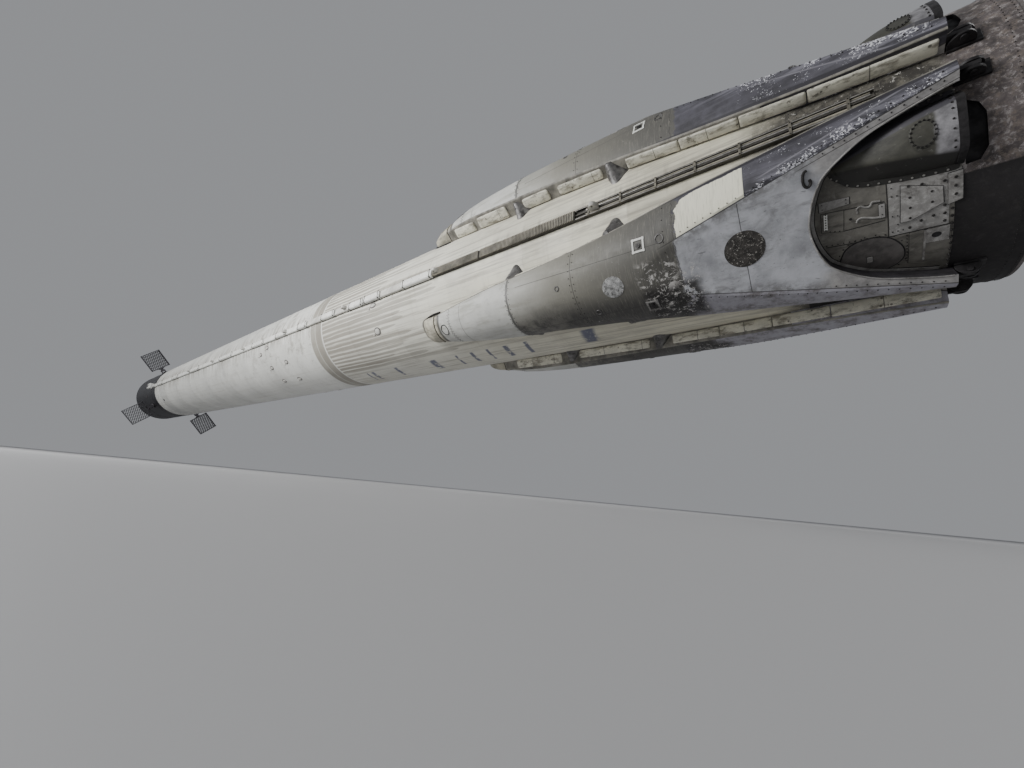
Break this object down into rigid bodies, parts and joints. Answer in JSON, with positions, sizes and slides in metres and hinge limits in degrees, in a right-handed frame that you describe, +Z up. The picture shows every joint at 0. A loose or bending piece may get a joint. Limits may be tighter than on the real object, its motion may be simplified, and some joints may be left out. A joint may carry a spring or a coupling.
{
  "type": "rocket booster stage, 1:2 scale model",
  "caption": "Reusable rocket booster stage on its side, with stowed landing legs, steering and folding grid fins, gimballed engines and an open interstage.",
  "frame": {"origin": "on the hull axis at the middle one of the suspension lugs, 8.8 m ahead of the plane of the leg feet", "axes": "+X along the hull axis towards the open interstage, +Z up as it hangs, +Y to the side shown in the picture"},
  "size_m": [24.1, 2.9344, 2.9344],
  "materials": {
    "tank_white": "satin white paint, lightly streaked",
    "ring_grey": "grey paint with soot",
    "sooty_white": "white paint under soot streaks",
    "section_grey": "burnt grey coating with rivets",
    "leg_grey": "burnt and peeled white coating",
    "interstage_black": "black fibre composite",
    "raceway_cream": "cream coating with dirt",
    "dark_metal": "heat-darkened titanium",
    "nozzle_metal": "heat-stained nozzle metal",
    "shield_dark": "charred blanket",
    "fitting_grey": "worn bare metal"
  },
  "bodies": {
    "hull": {"lox_tank": "tank_white", "tank_ring": "ring_grey", "fuel_tank": "sooty_white", "engine_section": "section_grey", "thrust_frame": "fitting_grey", "heat_shield": "shield_dark", "interstage": "interstage_black", "stage_pusher": "fitting_grey", "raceway_left": "raceway_cream", "raceway_right": "raceway_cream", "thruster_pod_left": "raceway_cream", "thruster_pod_right": "raceway_cream", "leg_1": "leg_grey", "leg_latches_1": "fitting_grey", "leg_tip_cap_1": "fitting_grey", "blister_1": "fitting_grey", "leg_2": "leg_grey", "leg_latches_2": "fitting_grey", "leg_tip_cap_2": "fitting_grey", "blister_2": "fitting_grey", "leg_3": "leg_grey", "leg_latches_3": "fitting_grey", "leg_tip_cap_3": "fitting_grey", "blister_3": "fitting_grey", "leg_4": "leg_grey", "leg_latches_4": "fitting_grey", "leg_tip_cap_4": "fitting_grey", "blister_4": "fitting_grey"},
    "gimbal_1": {"gimbal_block_1": "fitting_grey"},
    "engine_1": {"engine_1": "nozzle_metal"},
    "gimbal_2": {"gimbal_block_2": "fitting_grey"},
    "engine_2": {"engine_2": "nozzle_metal"},
    "gimbal_3": {"gimbal_block_3": "fitting_grey"},
    "engine_3": {"engine_3": "nozzle_metal"},
    "gimbal_4": {"gimbal_block_4": "fitting_grey"},
    "engine_4": {"engine_4": "nozzle_metal"},
    "gimbal_5": {"gimbal_block_5": "fitting_grey"},
    "engine_5": {"engine_5": "nozzle_metal"},
    "gimbal_6": {"gimbal_block_6": "fitting_grey"},
    "engine_6": {"engine_6": "nozzle_metal"},
    "gimbal_7": {"gimbal_block_7": "fitting_grey"},
    "engine_7": {"engine_7": "nozzle_metal"},
    "gimbal_8": {"gimbal_block_8": "fitting_grey"},
    "engine_8": {"engine_8": "nozzle_metal"},
    "gimbal_9": {"gimbal_block_9": "fitting_grey"},
    "engine_9": {"engine_9": "nozzle_metal"},
    "fin_mount_1": {"fin_mount_1": "dark_metal"},
    "fin_1": {"grid_fin_1": "dark_metal"},
    "fin_mount_2": {"fin_mount_2": "dark_metal"},
    "fin_2": {"grid_fin_2": "dark_metal"},
    "fin_mount_3": {"fin_mount_3": "dark_metal"},
    "fin_3": {"grid_fin_3": "dark_metal"},
    "fin_mount_4": {"fin_mount_4": "dark_metal"},
    "fin_4": {"grid_fin_4": "dark_metal"}
  },
  "joints": [
    {"name": "engine_pitch_1", "type": "hinge", "parent": "hull", "child": "gimbal_1", "pos_m": [-8.49, 0, 0], "axis": [0, 1, 0], "range_deg": [-5, 5]},
    {"name": "engine_yaw_1", "type": "hinge", "parent": "gimbal_1", "child": "engine_1", "pos_m": [-8.55, 0, 0], "axis": [0, 0, 1], "range_deg": [-5, 5]},
    {"name": "engine_pitch_2", "type": "hinge", "parent": "hull", "child": "gimbal_2", "pos_m": [-8.49, 0.60052, 0.24874], "axis": [0, 1, 0], "range_deg": [-5, 5]},
    {"name": "engine_yaw_2", "type": "hinge", "parent": "gimbal_2", "child": "engine_2", "pos_m": [-8.55, 0.60052, 0.24874], "axis": [0, 0, 1], "range_deg": [-5, 5]},
    {"name": "engine_pitch_3", "type": "hinge", "parent": "hull", "child": "gimbal_3", "pos_m": [-8.49, 0.24874, 0.60052], "axis": [0, 1, 0], "range_deg": [-5, 5]},
    {"name": "engine_yaw_3", "type": "hinge", "parent": "gimbal_3", "child": "engine_3", "pos_m": [-8.55, 0.24874, 0.60052], "axis": [0, 0, 1], "range_deg": [-5, 5]},
    {"name": "engine_pitch_4", "type": "hinge", "parent": "hull", "child": "gimbal_4", "pos_m": [-8.49, -0.24874, 0.60052], "axis": [0, 1, 0], "range_deg": [-5, 5]},
    {"name": "engine_yaw_4", "type": "hinge", "parent": "gimbal_4", "child": "engine_4", "pos_m": [-8.55, -0.24874, 0.60052], "axis": [0, 0, 1], "range_deg": [-5, 5]},
    {"name": "engine_pitch_5", "type": "hinge", "parent": "hull", "child": "gimbal_5", "pos_m": [-8.49, -0.60052, 0.24874], "axis": [0, 1, 0], "range_deg": [-5, 5]},
    {"name": "engine_yaw_5", "type": "hinge", "parent": "gimbal_5", "child": "engine_5", "pos_m": [-8.55, -0.60052, 0.24874], "axis": [0, 0, 1], "range_deg": [-5, 5]},
    {"name": "engine_pitch_6", "type": "hinge", "parent": "hull", "child": "gimbal_6", "pos_m": [-8.49, -0.60052, -0.24874], "axis": [0, 1, 0], "range_deg": [-5, 5]},
    {"name": "engine_yaw_6", "type": "hinge", "parent": "gimbal_6", "child": "engine_6", "pos_m": [-8.55, -0.60052, -0.24874], "axis": [0, 0, 1], "range_deg": [-5, 5]},
    {"name": "engine_pitch_7", "type": "hinge", "parent": "hull", "child": "gimbal_7", "pos_m": [-8.49, -0.24874, -0.60052], "axis": [0, 1, 0], "range_deg": [-5, 5]},
    {"name": "engine_yaw_7", "type": "hinge", "parent": "gimbal_7", "child": "engine_7", "pos_m": [-8.55, -0.24874, -0.60052], "axis": [0, 0, 1], "range_deg": [-5, 5]},
    {"name": "engine_pitch_8", "type": "hinge", "parent": "hull", "child": "gimbal_8", "pos_m": [-8.49, 0.24874, -0.60052], "axis": [0, 1, 0], "range_deg": [-5, 5]},
    {"name": "engine_yaw_8", "type": "hinge", "parent": "gimbal_8", "child": "engine_8", "pos_m": [-8.55, 0.24874, -0.60052], "axis": [0, 0, 1], "range_deg": [-5, 5]},
    {"name": "engine_pitch_9", "type": "hinge", "parent": "hull", "child": "gimbal_9", "pos_m": [-8.49, 0.60052, -0.24874], "axis": [0, 1, 0], "range_deg": [-5, 5]},
    {"name": "engine_yaw_9", "type": "hinge", "parent": "gimbal_9", "child": "engine_9", "pos_m": [-8.55, 0.60052, -0.24874], "axis": [0, 0, 1], "range_deg": [-5, 5]},
    {"name": "fin_steer_1", "type": "hinge", "parent": "hull", "child": "fin_mount_1", "pos_m": [11.95, 0.65407, 0.65407], "axis": [0, 0.7071, 0.7071], "range_deg": [-20, 20]},
    {"name": "fin_fold_1", "type": "hinge", "parent": "fin_mount_1", "child": "fin_1", "pos_m": [11.95, 0.71559, 0.71559], "axis": [0, 0.7071, -0.7071], "range_deg": [0, 90]},
    {"name": "fin_steer_2", "type": "hinge", "parent": "hull", "child": "fin_mount_2", "pos_m": [11.95, -0.65407, 0.65407], "axis": [0, -0.7071, 0.7071], "range_deg": [-20, 20]},
    {"name": "fin_fold_2", "type": "hinge", "parent": "fin_mount_2", "child": "fin_2", "pos_m": [11.95, -0.71559, 0.71559], "axis": [0, 0.7071, 0.7071], "range_deg": [0, 90]},
    {"name": "fin_steer_3", "type": "hinge", "parent": "hull", "child": "fin_mount_3", "pos_m": [11.95, -0.65407, -0.65407], "axis": [0, -0.7071, -0.7071], "range_deg": [-20, 20]},
    {"name": "fin_fold_3", "type": "hinge", "parent": "fin_mount_3", "child": "fin_3", "pos_m": [11.95, -0.71559, -0.71559], "axis": [0, -0.7071, 0.7071], "range_deg": [0, 90]},
    {"name": "fin_steer_4", "type": "hinge", "parent": "hull", "child": "fin_mount_4", "pos_m": [11.95, 0.65407, -0.65407], "axis": [0, 0.7071, -0.7071], "range_deg": [-20, 20]},
    {"name": "fin_fold_4", "type": "hinge", "parent": "fin_mount_4", "child": "fin_4", "pos_m": [11.95, 0.71559, -0.71559], "axis": [0, -0.7071, -0.7071], "range_deg": [0, 90]}
  ],
  "couplings": [
    {"joint": "engine_pitch_2", "follows": "engine_pitch_1", "ratio": 1},
    {"joint": "engine_yaw_2", "follows": "engine_yaw_1", "ratio": 1},
    {"joint": "engine_pitch_3", "follows": "engine_pitch_1", "ratio": 1},
    {"joint": "engine_yaw_3", "follows": "engine_yaw_1", "ratio": 1},
    {"joint": "engine_pitch_4", "follows": "engine_pitch_1", "ratio": 1},
    {"joint": "engine_yaw_4", "follows": "engine_yaw_1", "ratio": 1},
    {"joint": "engine_pitch_5", "follows": "engine_pitch_1", "ratio": 1},
    {"joint": "engine_yaw_5", "follows": "engine_yaw_1", "ratio": 1},
    {"joint": "engine_pitch_6", "follows": "engine_pitch_1", "ratio": 1},
    {"joint": "engine_yaw_6", "follows": "engine_yaw_1", "ratio": 1},
    {"joint": "engine_pitch_7", "follows": "engine_pitch_1", "ratio": 1},
    {"joint": "engine_yaw_7", "follows": "engine_yaw_1", "ratio": 1},
    {"joint": "engine_pitch_8", "follows": "engine_pitch_1", "ratio": 1},
    {"joint": "engine_yaw_8", "follows": "engine_yaw_1", "ratio": 1},
    {"joint": "engine_pitch_9", "follows": "engine_pitch_1", "ratio": 1},
    {"joint": "engine_yaw_9", "follows": "engine_yaw_1", "ratio": 1}
  ]
}
